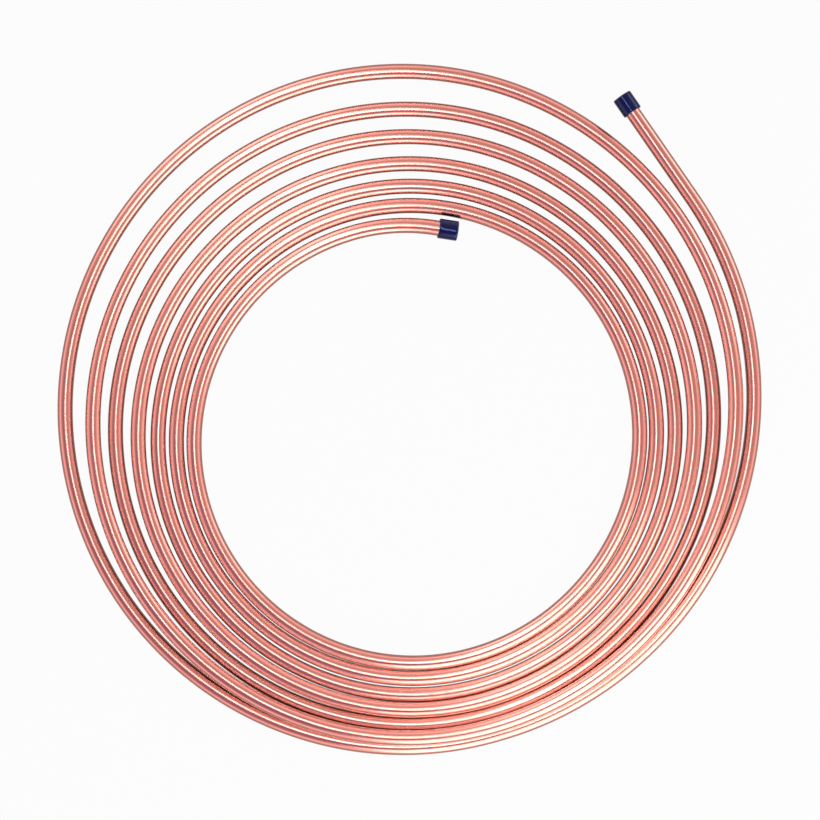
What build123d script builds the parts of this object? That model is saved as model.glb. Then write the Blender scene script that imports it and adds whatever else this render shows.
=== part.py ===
from build123d import *

import math
import os

# A flat coil of copper-nickel tubing with a soft cap pushed on each end.
# The tube is one piece, wound in half turns whose ends all lie on one line through the coil.
# On one side of that line the turns are bunched against each other, and on the other side they fan out.
# The coil lies on the floor: +Z is up, and the origin is on the floor at the centre of the eye.
# Sizes are in millimetres and angles in degrees.

# Tube stock: three eighths of an inch outside, with a wall of 0.035 inch.
TUBE_OD = 9.525
TUBE_WALL = 0.889

# Winding, seen from above. The tube runs anticlockwise from its inner end to its outer end.
EYE_RADIUS = 136.9
FAN_BEARING = 106.6

# Gaps outside each turn, from the eye outwards, where the turns fan out.
FAN_GAPS = (2.4, 2.6, 4.6, 7.5, 7.8, 14.4)

# Gaps outside each turn as seen from above, where the turns are bunched.
# They are negative beside the turns that ride up on a neighbour.
BUNCH_GAPS = (0.25, 0.45, -0.4, -0.3, -2.0, -3.4)
RIDING_TURNS = (3, 5)
TURN_CLEARANCE = 0.25

# The inner end: an arc tighter than the first turn, then a straight stub that shows a little past its cap.
LEAD_TIGHTENING = 18.0
LEAD_ANGLE = 25.2
STUB_PAST_CAP = 2.5

# The outer end: a short run-in off the last turn, an arc clear of the half turn inside it, a straight run.
TAIL_RUN_IN = 2.6
TAIL_GAP = 0.9
TAIL_ANGLE = 108.1
TAIL_STRAIGHT = 75.9

# Dip-moulded end caps.
CAP_WALL = 1.4
CAP_FLOOR = 1.5
CAP_LENGTH = 13.1
CAP_CLEARANCE = 0.05
CAP_END_ROUND = 0.8
CAP_LIP_ROUND = 0.4

tube_radius = TUBE_OD / 2
cap_bore_radius = tube_radius + CAP_CLEARANCE
cap_radius = cap_bore_radius + CAP_WALL
cap_depth = CAP_LENGTH - CAP_FLOOR
full_turns = len(FAN_GAPS)


def fan_point(turn):
    """Where a turn's centre line crosses the fanned side. The first turn is raised to its cap's height."""
    reach = EYE_RADIUS + sum(TUBE_OD + gap for gap in FAN_GAPS[:turn])
    height = cap_radius if turn == 0 else tube_radius
    return Vector(0, reach, height)


def riding_lift(turn):
    """How far a turn rides up where the turns are bunched, to clear the nearer of its two neighbours."""
    if turn not in RIDING_TURNS:
        return 0
    nearest = TUBE_OD + min(BUNCH_GAPS[turn - 1], BUNCH_GAPS[turn])
    return math.sqrt((TUBE_OD + TURN_CLEARANCE) ** 2 - nearest**2)


def bunch_point(turn):
    """Where a turn's centre line crosses the bunched side."""
    reach = EYE_RADIUS + sum(TUBE_OD + gap for gap in BUNCH_GAPS[:turn])
    return Vector(0, -reach, tube_radius + riding_lift(turn))


def half_turn(start, end, side):
    """Half a circle from start to end by way of -X or +X, so that it leaves and arrives along X."""
    middle = (start + end) / 2
    return ThreePointArc(start, middle + Vector(side * (end - start).length / 2, 0, 0), end)


def arc_offset(radius, angle):
    """How far an arc that sets out along +X, and bends to +Y, has gone along X and Y."""
    turned = math.radians(angle)
    return radius * math.sin(turned), radius * (1 - math.cos(turned))


def inner_lead():
    """The inner end, from its tip to the first turn: the level stub in the cap, then a level arc."""
    joint = fan_point(0)

    def on_arc(angle):
        along, across = arc_offset(EYE_RADIUS - LEAD_TIGHTENING, angle)
        return joint + Vector(along, -across, 0)

    bend = on_arc(LEAD_ANGLE)
    stub = Vector(1, 0, 0).rotate(Axis.Z, -LEAD_ANGLE) * (cap_depth + STUB_PAST_CAP)
    return [Line(bend + stub, bend), ThreePointArc(bend, on_arc(LEAD_ANGLE / 2), joint)]


def outer_tail():
    """The outer end, from the last turn to its tip: an arc and a straight run, up to the cap's height."""
    joint = bunch_point(full_turns)
    leave = joint + Vector(TAIL_RUN_IN, 0, 0)
    inside_radius = (fan_point(full_turns) - bunch_point(full_turns - 1)).length / 2
    radius = inside_radius + TUBE_OD + TAIL_GAP
    along, across = arc_offset(radius, TAIL_ANGLE)
    run = Vector(1, 0, 0).rotate(Axis.Z, TAIL_ANGLE)
    mouth_reach = across + run.Y * (TAIL_STRAIGHT - cap_depth)
    climb = math.asin((cap_radius - tube_radius) / mouth_reach)

    def on_slope(x, y):
        return leave + Vector(x, y * math.cos(climb), y * math.sin(climb))

    bend = on_slope(along, across)
    tip = on_slope(along + run.X * TAIL_STRAIGHT, across + run.Y * TAIL_STRAIGHT)
    halfway = on_slope(*arc_offset(radius, TAIL_ANGLE / 2))
    return [Line(joint, leave), ThreePointArc(leave, halfway, bend), Line(bend, tip)]


def centre_line():
    """The tube's whole centre line, from its inner tip to its outer tip."""
    edges = inner_lead()
    for turn in range(full_turns):
        edges.append(half_turn(fan_point(turn), bunch_point(turn), -1))
        edges.append(half_turn(bunch_point(turn), fan_point(turn + 1), 1))
    edges.append(half_turn(fan_point(full_turns), bunch_point(full_turns), -1))
    edges += outer_tail()
    return Rot(0, 0, FAN_BEARING - 90) * Wire(edges)


def tube_coil(path):
    """The tube: a ring section carried along the centre line."""
    start = Plane(origin=path @ 0, z_dir=path % 0)
    ring = start * (Circle(tube_radius) - Circle(tube_radius - TUBE_WALL))
    return sweep(ring, path=path)


def end_cap(tip, outward):
    """A cup over the tube's end, its floor against the cut end, with rounded corners and a rounded lip."""
    mouth = -cap_depth
    section = make_face(
        Polyline(
            (0, 0),
            (cap_bore_radius, 0),
            (cap_bore_radius, mouth),
            (cap_radius, mouth),
            (cap_radius, CAP_FLOOR),
            (0, CAP_FLOOR),
            close=True,
        )
    )
    far_corner = section.vertices().sort_by_distance((cap_radius, CAP_FLOOR))[0]
    section = fillet(far_corner, CAP_END_ROUND)
    lip_corner = section.vertices().sort_by_distance((cap_radius, mouth))[0]
    section = fillet(lip_corner, CAP_LIP_ROUND)
    cup = revolve(Plane.XZ * section, Axis.Z)
    return Plane(origin=tip, z_dir=outward) * cup


def main():
    path = centre_line()
    parts = {
        "tube_coil": tube_coil(path),
        "inner_end_cap": end_cap(path @ 0, -(path % 0)),
        "outer_end_cap": end_cap(path @ 1, path % 1),
    }
    section = math.pi * (tube_radius**2 - (tube_radius - TUBE_WALL) ** 2)
    ratio = parts["tube_coil"].volume / (section * path.length)
    print(f"tube length {path.length:.1f} mm, volume over section times length {ratio:.6f}")
    os.makedirs("parts", exist_ok=True)
    for name, shape in parts.items():
        export_step(shape, f"parts/{name}.step")


main()
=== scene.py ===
# %% [markdown]
# # A coil of copper-nickel tubing
#
# One length of bare drawn tube lies on a white table as a flat, open spiral.
# Its turns are bunched at the bottom of the picture and fan out at the top.
# A soft blue cap closes each end of the tube.
# The lesson winds the tube with Geometry Nodes, turns the two caps, makes the two finishes,
# and lights the coil as a still life seen from straight above.

# %% Load the coil's frame
import math

import bmesh
import bpy
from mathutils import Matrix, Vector


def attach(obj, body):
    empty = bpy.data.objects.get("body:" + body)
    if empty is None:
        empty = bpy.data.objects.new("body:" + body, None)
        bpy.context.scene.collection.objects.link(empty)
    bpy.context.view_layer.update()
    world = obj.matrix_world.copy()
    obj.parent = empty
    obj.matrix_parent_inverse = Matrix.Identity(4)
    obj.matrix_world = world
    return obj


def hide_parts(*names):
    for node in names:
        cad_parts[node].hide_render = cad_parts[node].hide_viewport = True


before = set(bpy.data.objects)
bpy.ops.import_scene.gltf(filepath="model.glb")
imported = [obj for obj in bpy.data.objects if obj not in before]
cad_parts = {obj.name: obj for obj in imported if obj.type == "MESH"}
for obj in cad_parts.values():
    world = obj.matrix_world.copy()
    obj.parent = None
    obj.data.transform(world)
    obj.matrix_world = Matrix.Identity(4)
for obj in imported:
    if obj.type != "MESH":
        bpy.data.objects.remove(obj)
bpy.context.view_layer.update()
MM = 0.001

# %% [markdown]
# ## One small helper for node trees
#
# Geometry and shader trees are both lists of nodes with settings and links.
# One function adds a node, sets what belongs to it, and fills its sockets with a number or a link.
# A second one turns a colour, written as it looks on a screen, into the linear light that nodes work in.

# %% A node with its settings and links, and a colour


def add_node(tree, kind, inputs=None, **settings):
    """Add a node, set its own settings, then set or link its inputs by their name or number."""
    node = tree.nodes.new(kind)
    for name, value in settings.items():
        setattr(node, name, value)
    for key, value in (inputs or {}).items():
        if isinstance(value, bpy.types.NodeSocket):
            tree.links.new(value, node.inputs[key])
        else:
            node.inputs[key].default_value = value
    return node


def linear(code):
    """A colour written as an sRGB hex value, such as #E09A80, in the linear light that shaders use."""
    channels = [int(code[i:i + 2], 16) / 255 for i in (1, 3, 5)]
    return [c / 12.92 if c <= 0.04045 else ((c + 0.055) / 1.055) ** 2.4 for c in channels] + [1.0]


print("middle grey in linear light", round(linear("#808080")[0], 3))

# %% [markdown]
# ## The camera
#
# The coil is seen from straight above through a long lens.
# A near camera would push the turns that ride up on others outwards in the picture, so it hangs high.
# Its lens, in millimetres on a full-frame sensor, is worked out from the width of table that it sees.

# %% Hang the camera over the coil
PICTURE_WIDTH = 511.7 * MM
PICTURE_CENTRE = Vector((-2.2, 21.0, 5.0)) * MM
CAMERA_HEIGHT = 2600 * MM
SENSOR_WIDTH = 36

camera_data = bpy.data.cameras.new("Camera")
camera_data.sensor_width = SENSOR_WIDTH
camera_data.lens = camera_data.sensor_width * CAMERA_HEIGHT / PICTURE_WIDTH
camera = bpy.data.objects.new("Camera", camera_data)
camera.location = PICTURE_CENTRE + Vector((0, 0, CAMERA_HEIGHT))
bpy.context.scene.collection.objects.link(camera)
bpy.context.scene.camera = camera
print("lens", round(camera_data.lens, 1), "mm")

# %% [markdown]
# ## The winding
#
# The winding is drawn as half turns. Every half turn starts and ends on one straight line through the coil:
# on one side of that line the turns are bunched, and on the other side the gaps widen outwards.
# Where they are bunched, two of the turns ride up on their neighbours, so those gaps are negative from above.
# A spiral formula in polar coordinates would not keep the bunch tight, so the route is laid as half circles.
# Each one is two quarter arcs of a Bezier curve, whose handles are worked out from the radius.

# %% Sizes of the winding
TUBE_OD = 9.525 * MM
EYE_RADIUS = 136.9 * MM
FAN_BEARING = math.radians(106.6)
FAN_GAPS = [gap * MM for gap in (2.4, 2.6, 4.6, 7.5, 7.8, 14.4)]

# The solids keep 0.25 and 0.45 mm outside the first two turns. Here turn 1 lies a quarter of a millimetre
# nearer the eye, so that the first two turns touch and the line between them is dark, as on the real coil.
BUNCH_GAPS = [gap * MM for gap in (0.0, 0.7, -0.4, -0.3, -2.0, -3.4)]
RIDING_TURNS = (3, 5)
TURN_CLEARANCE = 0.25 * MM

# The inner end is an arc tighter than the first turn, then a straight stub that shows a little past its cap.
LEAD_TIGHTENING = 18.0 * MM
LEAD_ANGLE = math.radians(25.2)
STUB_PAST_CAP = 2.5 * MM

# The outer end runs off the last turn, bends clear of the half turn inside it, and goes straight to its tip.
TAIL_RUN_IN = 2.6 * MM
TAIL_GAP = 0.9 * MM
TAIL_ANGLE = math.radians(108.1)
TAIL_STRAIGHT = 75.9 * MM

# The caps are fatter than the tube and lie on the table too, so they set the height of both ends.
CAP_WALL = 1.4 * MM
CAP_FLOOR = 1.5 * MM
CAP_LENGTH = 13.1 * MM
CAP_CLEARANCE = 0.05 * MM

tube_radius = TUBE_OD / 2
cap_bore_radius = tube_radius + CAP_CLEARANCE
cap_radius = cap_bore_radius + CAP_WALL
cap_depth = CAP_LENGTH - CAP_FLOOR
full_turns = len(FAN_GAPS)

up = Vector((0, 0, 1))
fanwards = Vector((math.cos(FAN_BEARING), math.sin(FAN_BEARING), 0))
sideways = fanwards.cross(up)
print("full turns", full_turns, "cap across", round(2 * cap_radius / MM, 2), "mm")

# %% Where each turn crosses the fanned side and the bunched side


def fan_point(turn):
    """A turn's centre on the fanned side. The first turn is raised to its cap's height."""
    reach = EYE_RADIUS + sum(TUBE_OD + gap for gap in FAN_GAPS[:turn])
    return fanwards * reach + up * (cap_radius if turn == 0 else tube_radius)


def riding_lift(turn):
    """How far a turn rides up on the bunched side, to clear the nearer of its two neighbours."""
    if turn not in RIDING_TURNS:
        return 0
    nearest = TUBE_OD + min(BUNCH_GAPS[turn - 1], BUNCH_GAPS[turn])
    return math.sqrt((TUBE_OD + TURN_CLEARANCE) ** 2 - nearest**2)


def bunch_point(turn):
    """A turn's centre on the bunched side."""
    reach = EYE_RADIUS + sum(TUBE_OD + gap for gap in BUNCH_GAPS[:turn])
    return fanwards * -reach + up * (tube_radius + riding_lift(turn))


print("lift of the riding turns in mm", [round(riding_lift(turn) / MM, 2) for turn in RIDING_TURNS])

# %% Arcs and straight runs as Bezier knots
# A Bezier piece follows a circle closely up to about a quarter turn.
LARGEST_PIECE = math.radians(91)


def lay_arc(knots, tangent, normal, radius, angle):
    """Carry the route on from its last knot by an arc that bends from the tangent towards the normal."""
    pieces = math.ceil(angle / LARGEST_PIECE)
    step = angle / pieces
    handle = 4 / 3 * math.tan(step / 4) * radius
    start = knots[-1]["co"]
    knots[-1]["right"] = start + tangent * handle
    for i in range(1, pieces + 1):
        turned = step * i
        co = start + tangent * radius * math.sin(turned) + normal * radius * (1 - math.cos(turned))
        heading = tangent * math.cos(turned) + normal * math.sin(turned)
        knots.append({"co": co, "left": co - heading * handle, "right": co + heading * handle})
    return heading


def lay_run(knots, heading, length):
    """Carry the route on by a straight run."""
    start = knots[-1]["co"]
    knots[-1]["right"] = start + heading * length / 3
    co = start + heading * length
    knots.append({"co": co, "left": co - heading * length / 3, "right": co})


def lay_half_turn(knots, end, side):
    """Carry the route on by half a circle that ends at a given point."""
    across = end - knots[-1]["co"]
    lay_arc(knots, sideways * side, across.normalized(), across.length / 2, math.pi)


print("pieces in a half turn", math.ceil(math.pi / LARGEST_PIECE))

# %% The two ends of the tube


def inner_lead():
    """The inner end, laid back from the first turn and then turned round, so that it starts at its tip."""
    knots = [{"co": fan_point(0), "left": fan_point(0)}]
    heading = lay_arc(knots, sideways, -fanwards, EYE_RADIUS - LEAD_TIGHTENING, LEAD_ANGLE)
    lay_run(knots, heading, cap_depth + STUB_PAST_CAP)
    turned = [
        {"co": knot["co"], "left": knot.get("right", knot["co"]), "right": knot["left"]}
        for knot in reversed(knots)
    ]
    return turned, heading


def outer_tail(knots):
    """The outer end: an arc and a straight run, which climb together to the cap's height."""
    inside_radius = (fan_point(full_turns) - bunch_point(full_turns - 1)).length / 2
    radius = inside_radius + TUBE_OD + TAIL_GAP
    straight_to_mouth = TAIL_STRAIGHT - cap_depth
    mouth_reach = radius * (1 - math.cos(TAIL_ANGLE)) + math.sin(TAIL_ANGLE) * straight_to_mouth
    climb = math.asin((cap_radius - tube_radius) / mouth_reach)
    inwards = fanwards * math.cos(climb) + up * math.sin(climb)
    lay_run(knots, sideways, TAIL_RUN_IN)
    heading = lay_arc(knots, sideways, inwards, radius, TAIL_ANGLE)
    lay_run(knots, heading, TAIL_STRAIGHT)
    return heading


route, inner_heading = inner_lead()
print("knots of the inner end", len(route))

# %% Lay the whole route
STEPS_PER_PIECE = 64

for turn in range(full_turns):
    lay_half_turn(route, bunch_point(turn), -1)
    lay_half_turn(route, fan_point(turn + 1), 1)
lay_half_turn(route, bunch_point(full_turns), -1)
outer_heading = outer_tail(route)

route_curve = bpy.data.curves.new("Tube route", "CURVE")
route_curve.dimensions = "3D"
spline = route_curve.splines.new("BEZIER")
spline.bezier_points.add(len(route) - 1)
spline.resolution_u = STEPS_PER_PIECE
for point, knot in zip(spline.bezier_points, route):
    point.co = knot["co"]
    point.handle_left_type = point.handle_right_type = "FREE"
    point.handle_left = knot["left"]
    point.handle_right = knot.get("right", knot["co"])
print("knots", len(route), "length", round(spline.calc_length(), 3), "m")

# %% [markdown]
# ## Drawn copper-nickel
#
# Copper-nickel tube is drawn through a die, which leaves it bright, with fine lines along its length.
# Coiling and handling add small dings, and thumbs and the bench leave duller patches.
# The metal is an alloy that looks like pale pink copper. Its reflections do most of the work: a mirror-like
# crown that breaks up along its edges, because the fine lines tilt the surface a little to either side.
# A texture laid on the tube could do it too, but a pattern of noise has no seam and needs no picture.
# It reads two attributes that the winding stores: how far along the tube a point is, and where it is
# on the ring, so the lines follow the tube round every turn.

# %% Where a point lies on the tube


def ring_coordinates(tree, width, length):
    """A vector that counts widths round the tube and lengths along it."""
    along = add_node(tree, "ShaderNodeAttribute", attribute_name="along").outputs["Fac"]
    ring = add_node(tree, "ShaderNodeAttribute", attribute_name="ring").outputs["Vector"]
    ring_part = add_node(tree, "ShaderNodeVectorMath", {0: ring, 1: [1 / width] * 3}, operation="MULTIPLY")
    along_part = add_node(tree, "ShaderNodeMath", {0: along, 1: 1 / length}, operation="MULTIPLY")
    along_axis = add_node(tree, "ShaderNodeCombineXYZ", {"Z": along_part.outputs[0]})
    both = add_node(tree, "ShaderNodeVectorMath", {0: ring_part.outputs[0], 1: along_axis.outputs[0]})
    return both.outputs[0]


print("the pattern goes round", round(math.pi * TUBE_OD / MM, 1), "mm of tube")

# %% The metal
# The die's real lines are only hundredths of a millimetre wide, and the grain is as fine.
# Both are drawn about a millimetre wide, because they would not show in the picture otherwise.
DRAW_LINE_WIDTH = 1.0 * MM
DRAW_LINE_LENGTH = 25 * MM
DRAW_LINE_DEPTH = 0.004 * MM
GRAIN_WIDTH = 1.4 * MM
GRAIN_LENGTH = 4 * MM
GRAIN_DEPTH = 0.0045 * MM

# A ding is about a millimetre across, and there is one in each cell of this spacing.
DING_SPACING = 9 * MM
DING_RADIUS = 0.63 * MM
DING_DEPTH = 0.03 * MM

# Handled patches are a little darker and duller than the bright metal.
PATCH_WIDTH = 7 * MM
PATCH_LENGTH = 60 * MM
PATCH_EDGE, PATCH_MIDDLE = 0.35, 0.7
BRIGHT_COLOUR, PATCH_COLOUR = "#E39F90", "#D59182"
BRIGHT_ROUGHNESS, PATCH_ROUGHNESS = 0.2, 0.28

# Two reflections in a row square the metal's colour, and the gaps between turns would glow a deep red.
# The real coil stays pale there, so the metal is paler where it is seen in a neighbouring turn.
COLOUR_IN_NEIGHBOUR = "#EFD2CA"


def drawn_copper_nickel():
    """Bright drawn copper-nickel: a pink metal with a lengthwise grain, small dings and duller patches."""
    material = bpy.data.materials.new("Drawn copper-nickel")
    material.use_nodes = True
    tree = material.node_tree
    shader = tree.nodes["Principled BSDF"]
    shader.inputs["Metallic"].default_value = 1.0

    lines = add_node(
        tree, "ShaderNodeTexNoise",
        {"Vector": ring_coordinates(tree, DRAW_LINE_WIDTH, DRAW_LINE_LENGTH), "Scale": 1, "Detail": 2},
    )
    grain = add_node(
        tree, "ShaderNodeTexNoise",
        {"Vector": ring_coordinates(tree, GRAIN_WIDTH, GRAIN_LENGTH), "Scale": 1, "Detail": 1},
    )
    patches = add_node(
        tree, "ShaderNodeTexNoise",
        {"Vector": ring_coordinates(tree, PATCH_WIDTH, PATCH_LENGTH), "Scale": 1, "Detail": 3},
    )
    dings = add_node(
        tree, "ShaderNodeTexVoronoi",
        {"Vector": ring_coordinates(tree, DING_SPACING, DING_SPACING), "Scale": 1},
    )
    ding_depth = add_node(
        tree, "ShaderNodeMapRange",
        {"Value": dings.outputs["Distance"], "From Max": DING_RADIUS / DING_SPACING},
        interpolation_type="SMOOTHSTEP",
    )

    colour = add_node(
        tree, "ShaderNodeMix",
        {"Factor": patches.outputs["Fac"], 6: linear(BRIGHT_COLOUR), 7: linear(PATCH_COLOUR)},
        data_type="RGBA",
    )
    in_neighbour = add_node(tree, "ShaderNodeLightPath").outputs["Is Glossy Ray"]
    paler = add_node(
        tree, "ShaderNodeMix",
        {"Factor": in_neighbour, 6: colour.outputs[2], 7: linear(COLOUR_IN_NEIGHBOUR)},
        data_type="RGBA",
    )
    tree.links.new(paler.outputs[2], shader.inputs["Base Color"])

    roughness = add_node(
        tree, "ShaderNodeMapRange",
        {
            "Value": patches.outputs["Fac"],
            "From Min": PATCH_EDGE,
            "From Max": PATCH_MIDDLE,
            "To Min": BRIGHT_ROUGHNESS,
            "To Max": PATCH_ROUGHNESS,
        },
    )
    tree.links.new(roughness.outputs[0], shader.inputs["Roughness"])

    normal = None
    for height, depth in (
        (lines.outputs["Fac"], DRAW_LINE_DEPTH),
        (grain.outputs["Fac"], GRAIN_DEPTH),
        (ding_depth.outputs[0], DING_DEPTH),
    ):
        bump = add_node(tree, "ShaderNodeBump", {"Height": height, "Distance": depth, "Strength": 1.0})
        if normal is not None:
            tree.links.new(normal, bump.inputs["Normal"])
        normal = bump.outputs["Normal"]
    tree.links.new(normal, shader.inputs["Normal"])
    return material


copper_nickel = drawn_copper_nickel()
print("material", copper_nickel.name, "with", len(copper_nickel.node_tree.nodes), "nodes")

# %% [markdown]
# ## The tube
#
# The real tube is one length of stock, bent round in a coiling machine. A curve with a bevel would give
# its shape, but a curve carried by Geometry Nodes can also remember where each point lies on the tube.
# The route is cut into short steps and a circle is carried along it. Normals are kept upright, so the ring
# does not twist. The tube's ends are inside the caps, so a flat end closes each and no bore is drawn.

# %% The winding tree


def winding_tree():
    """A node tree that carries a circle along a curve and stores where each point lies on the tube."""
    tree = bpy.data.node_groups.new("Wind tube", "GeometryNodeTree")
    for name, kind in (
        ("Route", "NodeSocketGeometry"),
        ("Tube radius", "NodeSocketFloat"),
        ("Ring spacing", "NodeSocketFloat"),
        ("Ring sides", "NodeSocketInt"),
        ("Metal", "NodeSocketMaterial"),
    ):
        tree.interface.new_socket(name, in_out="INPUT", socket_type=kind)
    tree.interface.new_socket("Tube", in_out="OUTPUT", socket_type="NodeSocketGeometry")
    given = add_node(tree, "NodeGroupInput").outputs

    steps = add_node(
        tree, "GeometryNodeResampleCurve",
        {"Curve": given["Route"], "Length": given["Ring spacing"]}, mode="LENGTH",
    )
    upright = add_node(tree, "GeometryNodeSetCurveNormal", {"Curve": steps.outputs[0]}, mode="Z_UP")
    along = add_node(tree, "GeometryNodeSplineParameter")
    rail = add_node(
        tree, "GeometryNodeStoreNamedAttribute",
        {"Geometry": upright.outputs[0], "Name": "along", "Value": along.outputs["Length"]},
        data_type="FLOAT", domain="POINT",
    )
    circle = add_node(
        tree, "GeometryNodeCurvePrimitiveCircle",
        {"Resolution": given["Ring sides"], "Radius": given["Tube radius"]}, mode="RADIUS",
    )
    place = add_node(tree, "GeometryNodeInputPosition")
    profile = add_node(
        tree, "GeometryNodeStoreNamedAttribute",
        {"Geometry": circle.outputs["Curve"], "Name": "ring", "Value": place.outputs[0]},
        data_type="FLOAT_VECTOR", domain="POINT",
    )
    tube = add_node(
        tree, "GeometryNodeCurveToMesh",
        {"Curve": rail.outputs[0], "Profile Curve": profile.outputs[0], "Fill Caps": True},
    )
    smooth = add_node(tree, "GeometryNodeSetShadeSmooth", {"Geometry": tube.outputs[0]})
    real = add_node(tree, "GeometryNodeRealizeInstances", {"Geometry": smooth.outputs[0]})
    finished = add_node(
        tree, "GeometryNodeSetMaterial", {"Geometry": real.outputs[0], "Material": given["Metal"]}
    )
    add_node(tree, "NodeGroupOutput", {"Tube": finished.outputs[0]})
    return tree


wind_tube = winding_tree()
print("tree", wind_tube.name, "with", len(wind_tube.nodes), "nodes")

# %% Wind it and keep a plain mesh
RING_SPACING = 3 * MM
RING_SIDES = 32


def run_tree(source, tree, values, name):
    """Run a tree on an object, and return its result as a plain mesh object of that name."""
    modifier = source.modifiers.new(tree.name, "NODES")
    modifier.node_group = tree
    inputs = [item for item in tree.interface.items_tree if item.in_out == "INPUT"]
    sockets = {item.name: item.identifier for item in inputs}
    for key, value in values.items():
        modifier[sockets[key]] = value
    evaluated = source.evaluated_get(bpy.context.evaluated_depsgraph_get())
    mesh = bpy.data.meshes.new_from_object(evaluated)
    source.modifiers.remove(modifier)
    piece = bpy.data.objects.new(name, mesh)
    bpy.context.scene.collection.objects.link(piece)
    return piece


route_object = bpy.data.objects.new("Tube route", route_curve)
bpy.context.scene.collection.objects.link(route_object)
tube = run_tree(
    route_object,
    wind_tube,
    {
        "Tube radius": tube_radius,
        "Ring spacing": RING_SPACING,
        "Ring sides": RING_SIDES,
        "Metal": copper_nickel,
    },
    "coiled_tube",
)
bpy.data.objects.remove(route_object)
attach(tube, "root")
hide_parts("tube_coil")
print("tube faces", len(tube.data.polygons), "attributes", [a.name for a in tube.data.attributes])

# %% [markdown]
# ## Dip-moulded vinyl
#
# The caps are made by dipping a warm steel pin into liquid vinyl, so their skin is smooth, a little uneven
# like orange peel, and glossy. The plastic is a deep navy blue that looks almost black away from the light.
# Its highlights are blue and not white, so the tint is set on the specular layer, where a coat over a
# blue base would give white ones.

# %% The vinyl
PEEL_SIZE = 1.1 * MM
PEEL_DEPTH = 0.02 * MM
MOTTLE_SIZE = 4 * MM
DEEP_NAVY, LIGHT_NAVY = "#060A20", "#0D1336"
BLUE_SHEEN = "#8C9CFF"
SMOOTH_SKIN, DULL_SKIN = 0.1, 0.16


def navy_vinyl():
    """Dip-moulded soft vinyl: navy blue, glossy, with a blue sheen and a faint orange-peel surface."""
    material = bpy.data.materials.new("Dip-moulded navy vinyl")
    material.use_nodes = True
    tree = material.node_tree
    shader = tree.nodes["Principled BSDF"]
    shader.inputs["IOR"].default_value = 1.53
    shader.inputs["Specular IOR Level"].default_value = 0.65
    shader.inputs["Specular Tint"].default_value = linear(BLUE_SHEEN)
    place = add_node(tree, "ShaderNodeTexCoord").outputs["Object"]
    mottle = add_node(tree, "ShaderNodeTexNoise", {"Vector": place, "Scale": 1 / MOTTLE_SIZE, "Detail": 3})
    colour = add_node(
        tree, "ShaderNodeMix",
        {"Factor": mottle.outputs["Fac"], 6: linear(DEEP_NAVY), 7: linear(LIGHT_NAVY)},
        data_type="RGBA",
    )
    tree.links.new(colour.outputs[2], shader.inputs["Base Color"])
    gloss = add_node(
        tree, "ShaderNodeMapRange",
        {"Value": mottle.outputs["Fac"], "To Min": SMOOTH_SKIN, "To Max": DULL_SKIN},
    )
    tree.links.new(gloss.outputs[0], shader.inputs["Roughness"])
    peel = add_node(tree, "ShaderNodeTexNoise", {"Vector": place, "Scale": 1 / PEEL_SIZE, "Detail": 1})
    bump = add_node(tree, "ShaderNodeBump", {"Height": peel.outputs["Fac"], "Distance": PEEL_DEPTH})
    tree.links.new(bump.outputs["Normal"], shader.inputs["Normal"])
    return material


vinyl = navy_vinyl()
print("material", vinyl.name, "with", len(vinyl.node_tree.nodes), "nodes")

# %% [markdown]
# ## The caps
#
# A cap is a cup that keeps dirt out of the tube: a slightly domed end, a wall, a rounded lip, and a bore.
# Its section could be turned with a Screw modifier, but rings laid one by one let the lip be set back at the
# top, more so on the inner cap. The lip of a dipped cap is never quite square.

# %% The cap's section
END_ROUND = 0.9 * MM
END_DOME = 0.35 * MM
BORE_FLOOR_GAP = 0.02 * MM


def corner(centre_axial, centre_radius, radius, start, end, steps):
    """Points round a corner of the section, from one angle to another, in degrees from the cap's axis."""
    angles = [math.radians(start + (end - start) * i / steps) for i in range(steps + 1)]
    return [(centre_axial + radius * math.cos(a), centre_radius + radius * math.sin(a)) for a in angles]


def cap_section():
    """Points of the section, as axial place and radius, from the middle of the end to the bore's floor."""
    lip_round = CAP_WALL / 2
    mouth = -cap_depth
    # Four rings of the dome, out to two thirds of the radius, each a little lower than the one inside it.
    dome = [(CAP_FLOOR - END_DOME * (r / 5) ** 2, cap_radius * r / 6) for r in range(1, 5)]
    end = corner(CAP_FLOOR - END_DOME - END_ROUND, cap_radius - END_ROUND, END_ROUND, 15, 90, 6)
    wall = [(mouth * share, cap_radius) for share in (0.1, 0.3, 0.5, 0.7)]
    lip = corner(mouth + lip_round, cap_radius - lip_round, lip_round, 90, 270, 10)
    bore = [(mouth / 2, cap_bore_radius), (-BORE_FLOOR_GAP, cap_bore_radius)]
    return dome + end + wall + lip + bore


section = cap_section()
print("points in the cap's section", len(section))

# %% Turn a cap
CAP_SEGMENTS = 72


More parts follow.
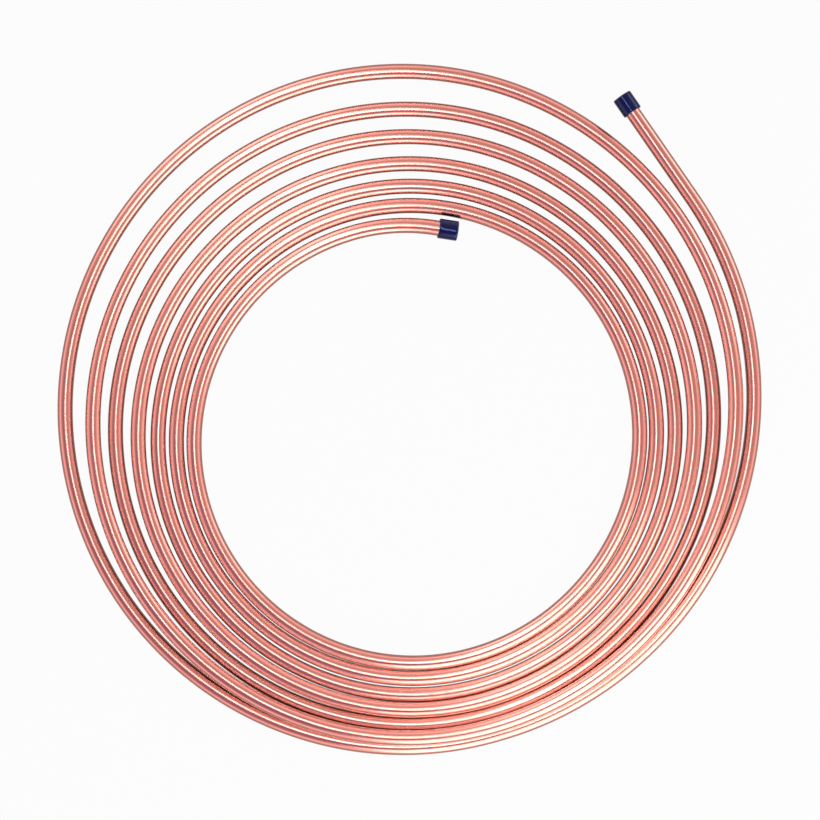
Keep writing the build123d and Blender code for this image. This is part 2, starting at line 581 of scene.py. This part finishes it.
def turn_cap(name, tip, heading, set_back):
    """Turn the section round the tube's end. The lip is set back at the top by the given amount."""
    side = heading.cross(up).normalized()
    crown = side.cross(heading)
    mesh = bmesh.new()
    rings = []
    for axial, radius in section:
        ring = []
        towards_mouth = min(1, max(0, -axial / cap_depth)) ** 2
        for i in range(CAP_SEGMENTS):
            angle = 2 * math.pi * i / CAP_SEGMENTS
            shift = set_back * towards_mouth * (1 + math.cos(angle)) / 2
            out = crown * math.cos(angle) + side * math.sin(angle)
            ring.append(mesh.verts.new(tip + heading * (axial + shift) + out * radius))
        rings.append(ring)
    for ring, following in zip(rings, rings[1:]):
        for i in range(CAP_SEGMENTS):
            j = (i + 1) % CAP_SEGMENTS
            mesh.faces.new((ring[i], ring[j], following[j], following[i]))
    for ring, axial in ((rings[0], CAP_FLOOR), (rings[-1], section[-1][0])):
        middle = mesh.verts.new(tip + heading * axial)
        for i in range(CAP_SEGMENTS):
            mesh.faces.new((middle, ring[i], ring[(i + 1) % CAP_SEGMENTS]))
    bmesh.ops.recalc_face_normals(mesh, faces=mesh.faces)
    for face in mesh.faces:
        face.smooth = True
    data = bpy.data.meshes.new(name)
    mesh.to_mesh(data)
    mesh.free()
    data.materials.append(vinyl)
    cap = bpy.data.objects.new(name, data)
    bpy.context.scene.collection.objects.link(cap)
    return cap


print("faces of a cap", (len(section) + 1) * CAP_SEGMENTS)

# %% Push a cap on each end
INNER_SET_BACK = 1.0 * MM
OUTER_SET_BACK = 0.5 * MM

for name, node, tip, heading, set_back in (
    ("inner_cap", "inner_end_cap", route[0]["co"], inner_heading, INNER_SET_BACK),
    ("outer_cap", "outer_end_cap", route[-1]["co"], outer_heading, OUTER_SET_BACK),
):
    cap = turn_cap(name, tip, heading, set_back)
    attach(cap, "root")
    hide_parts(node)
    print(name, "faces", len(cap.data.polygons))

# %% [markdown]
# ## The table
#
# Metal shows what is round it, so the table and the room are part of its look.
# The table is white to the camera, and takes the coil's faint shadow. Lamps bright enough to make it white
# would burn out the tube, so the white is a glow that only rays from the camera and from shiny things see.
# In a reflection the white is only a share of what it is to the camera, and after that it is gone.
# It would make the tube's flanks pale otherwise, and on the real coil their edges are dark.

# %% A white table
FLOOR_SIZE = 8.0
TABLE_PAINT = "#909090"

floor_mesh = bpy.data.meshes.new("Table")
half = FLOOR_SIZE / 2
corners = [(-half, -half, 0), (half, -half, 0), (half, half, 0), (-half, half, 0)]
floor_mesh.from_pydata(corners, [], [(0, 1, 2, 3)])
floor = bpy.data.objects.new("Table", floor_mesh)
bpy.context.scene.collection.objects.link(floor)

floor_material = bpy.data.materials.new("White table")
floor_material.use_nodes = True
floor_tree = floor_material.node_tree
paint = floor_tree.nodes["Principled BSDF"]
paint.inputs["Base Color"].default_value = linear(TABLE_PAINT)
paint.inputs["Roughness"].default_value = 0.8
paint.inputs["Specular IOR Level"].default_value = 0.1
floor_mesh.materials.append(floor_material)
print("table", FLOOR_SIZE, "m wide")

# %% The table's white
# The camera's rays see this share of white and the rest of paint and shadow.
FLOOR_WHITE = 0.96
# The white fades with each reflection and is gone at this count, so the first one sees about a quarter of it.
WHITE_GONE = 1.35

glow = add_node(floor_tree, "ShaderNodeEmission", {"Color": [1, 1, 1, 1], "Strength": 1.0})
ray = add_node(floor_tree, "ShaderNodeLightPath").outputs
seen = ray["Is Camera Ray"]
for kind in ("Is Glossy Ray", "Is Transmission Ray"):
    seen = add_node(floor_tree, "ShaderNodeMath", {0: seen, 1: ray[kind]}, operation="MAXIMUM").outputs[0]
fade = add_node(
    floor_tree, "ShaderNodeMapRange",
    {"Value": ray["Ray Depth"], "From Max": WHITE_GONE, "To Min": FLOOR_WHITE, "To Max": 0.0},
)
share = add_node(floor_tree, "ShaderNodeMath", {0: seen, 1: fade.outputs[0]}, operation="MULTIPLY")
white = add_node(
    floor_tree, "ShaderNodeMixShader", {0: share.outputs[0], 1: paint.outputs[0], 2: glow.outputs[0]}
)
floor_tree.links.new(white.outputs[0], floor_tree.nodes["Material Output"].inputs["Surface"])
print("white in the first reflection", round(FLOOR_WHITE * (1 - 1 / WHITE_GONE), 2))

# %% [markdown]
# ## The lamps
#
# A narrow strip hangs overhead and draws the white line along every crown. Three boxes stand low: at the
# lower right, the upper left and the right. They draw the paler lines lower on the flanks, and they are
# what makes some sides of the coil brighter than others. An area lamp's power depends on its size, so
# each lamp is given by how bright it is to look at, and its power is worked out from that.

# %% Soft boxes


def soft_box(name, place, width, height, radiance):
    """A soft box at a place, turned to the coil, as bright to look at as a given radiance."""
    lamp = bpy.data.lights.new(name, "AREA")
    lamp.shape = "RECTANGLE"
    lamp.size = width
    lamp.size_y = height
    lamp.energy = radiance * math.pi * width * height
    box = bpy.data.objects.new(name, lamp)
    box.location = place
    box.rotation_euler = (-Vector(place)).to_track_quat("-Z", "Y").to_euler()
    bpy.context.scene.collection.objects.link(box)
    print(name, round(lamp.energy, 2), "W")


soft_box("Overhead strip", (-0.18, 0.38, 1.6), 0.22, 1.4, 8.0)
soft_box("Lower right box", (0.25, -0.40, 0.20), 0.7, 0.4, 2.9)
soft_box("Upper left box", (-0.75, 1.07, 0.32), 1.05, 0.6, 1.3)
soft_box("Right box", (1.24, 0.66, 0.28), 0.7, 0.5, 1.8)

# %% [markdown]
# ## The room
#
# The room is brighter towards the horizon than overhead, as a room with a dark ceiling is.
# High on one side it has a dim, mauve corner. That corner is what draws the thin dark line beside the white
# one on every crown. A picture of a real room could do this, but a smooth change of light is enough here.

# %% A room with a dim corner
ROOM_COLOUR = [1.0, 0.82, 0.86, 1]
ROOM_HORIZON = 1.57
ROOM_TOP = 0.62
# The room changes between these heights on a sphere of radius 1.
HORIZON_HEIGHT, TOP_HEIGHT = 0.1, 0.85

DARK_CORNER = Vector((-0.354, -0.354, 0.866))
DARK_COLOUR = [0.6, 0.4, 0.68, 1]
# The corner's edge and middle, as cosines of the angle to its direction.
CORNER_EDGE, CORNER_MIDDLE = 0.8, 0.96

world = bpy.data.worlds.new("Dim room")
bpy.context.scene.world = world
world.use_nodes = True
room_tree = world.node_tree
room = room_tree.nodes["Background"]
direction = add_node(room_tree, "ShaderNodeTexCoord").outputs["Generated"]
towards = add_node(room_tree, "ShaderNodeVectorMath", {0: direction, 1: DARK_CORNER}, operation="DOT_PRODUCT")
corner_share = add_node(
    room_tree, "ShaderNodeMapRange",
    {"Value": towards.outputs["Value"], "From Min": CORNER_EDGE, "From Max": CORNER_MIDDLE},
    interpolation_type="SMOOTHSTEP",
)
tint = add_node(
    room_tree, "ShaderNodeMix",
    {"Factor": corner_share.outputs[0], 6: ROOM_COLOUR, 7: DARK_COLOUR},
    data_type="RGBA",
)
room_tree.links.new(tint.outputs[2], room.inputs["Color"])
height = add_node(room_tree, "ShaderNodeSeparateXYZ", {0: direction}).outputs["Z"]
level = add_node(
    room_tree, "ShaderNodeMapRange",
    {
        "Value": height,
        "From Min": HORIZON_HEIGHT,
        "From Max": TOP_HEIGHT,
        "To Min": ROOM_HORIZON,
        "To Max": ROOM_TOP,
    },
    interpolation_type="SMOOTHSTEP",
)
room_tree.links.new(level.outputs[0], room.inputs["Strength"])
bpy.context.scene.view_settings.view_transform = "Standard"
print("world", world.name, "with", len(room_tree.nodes), "nodes")
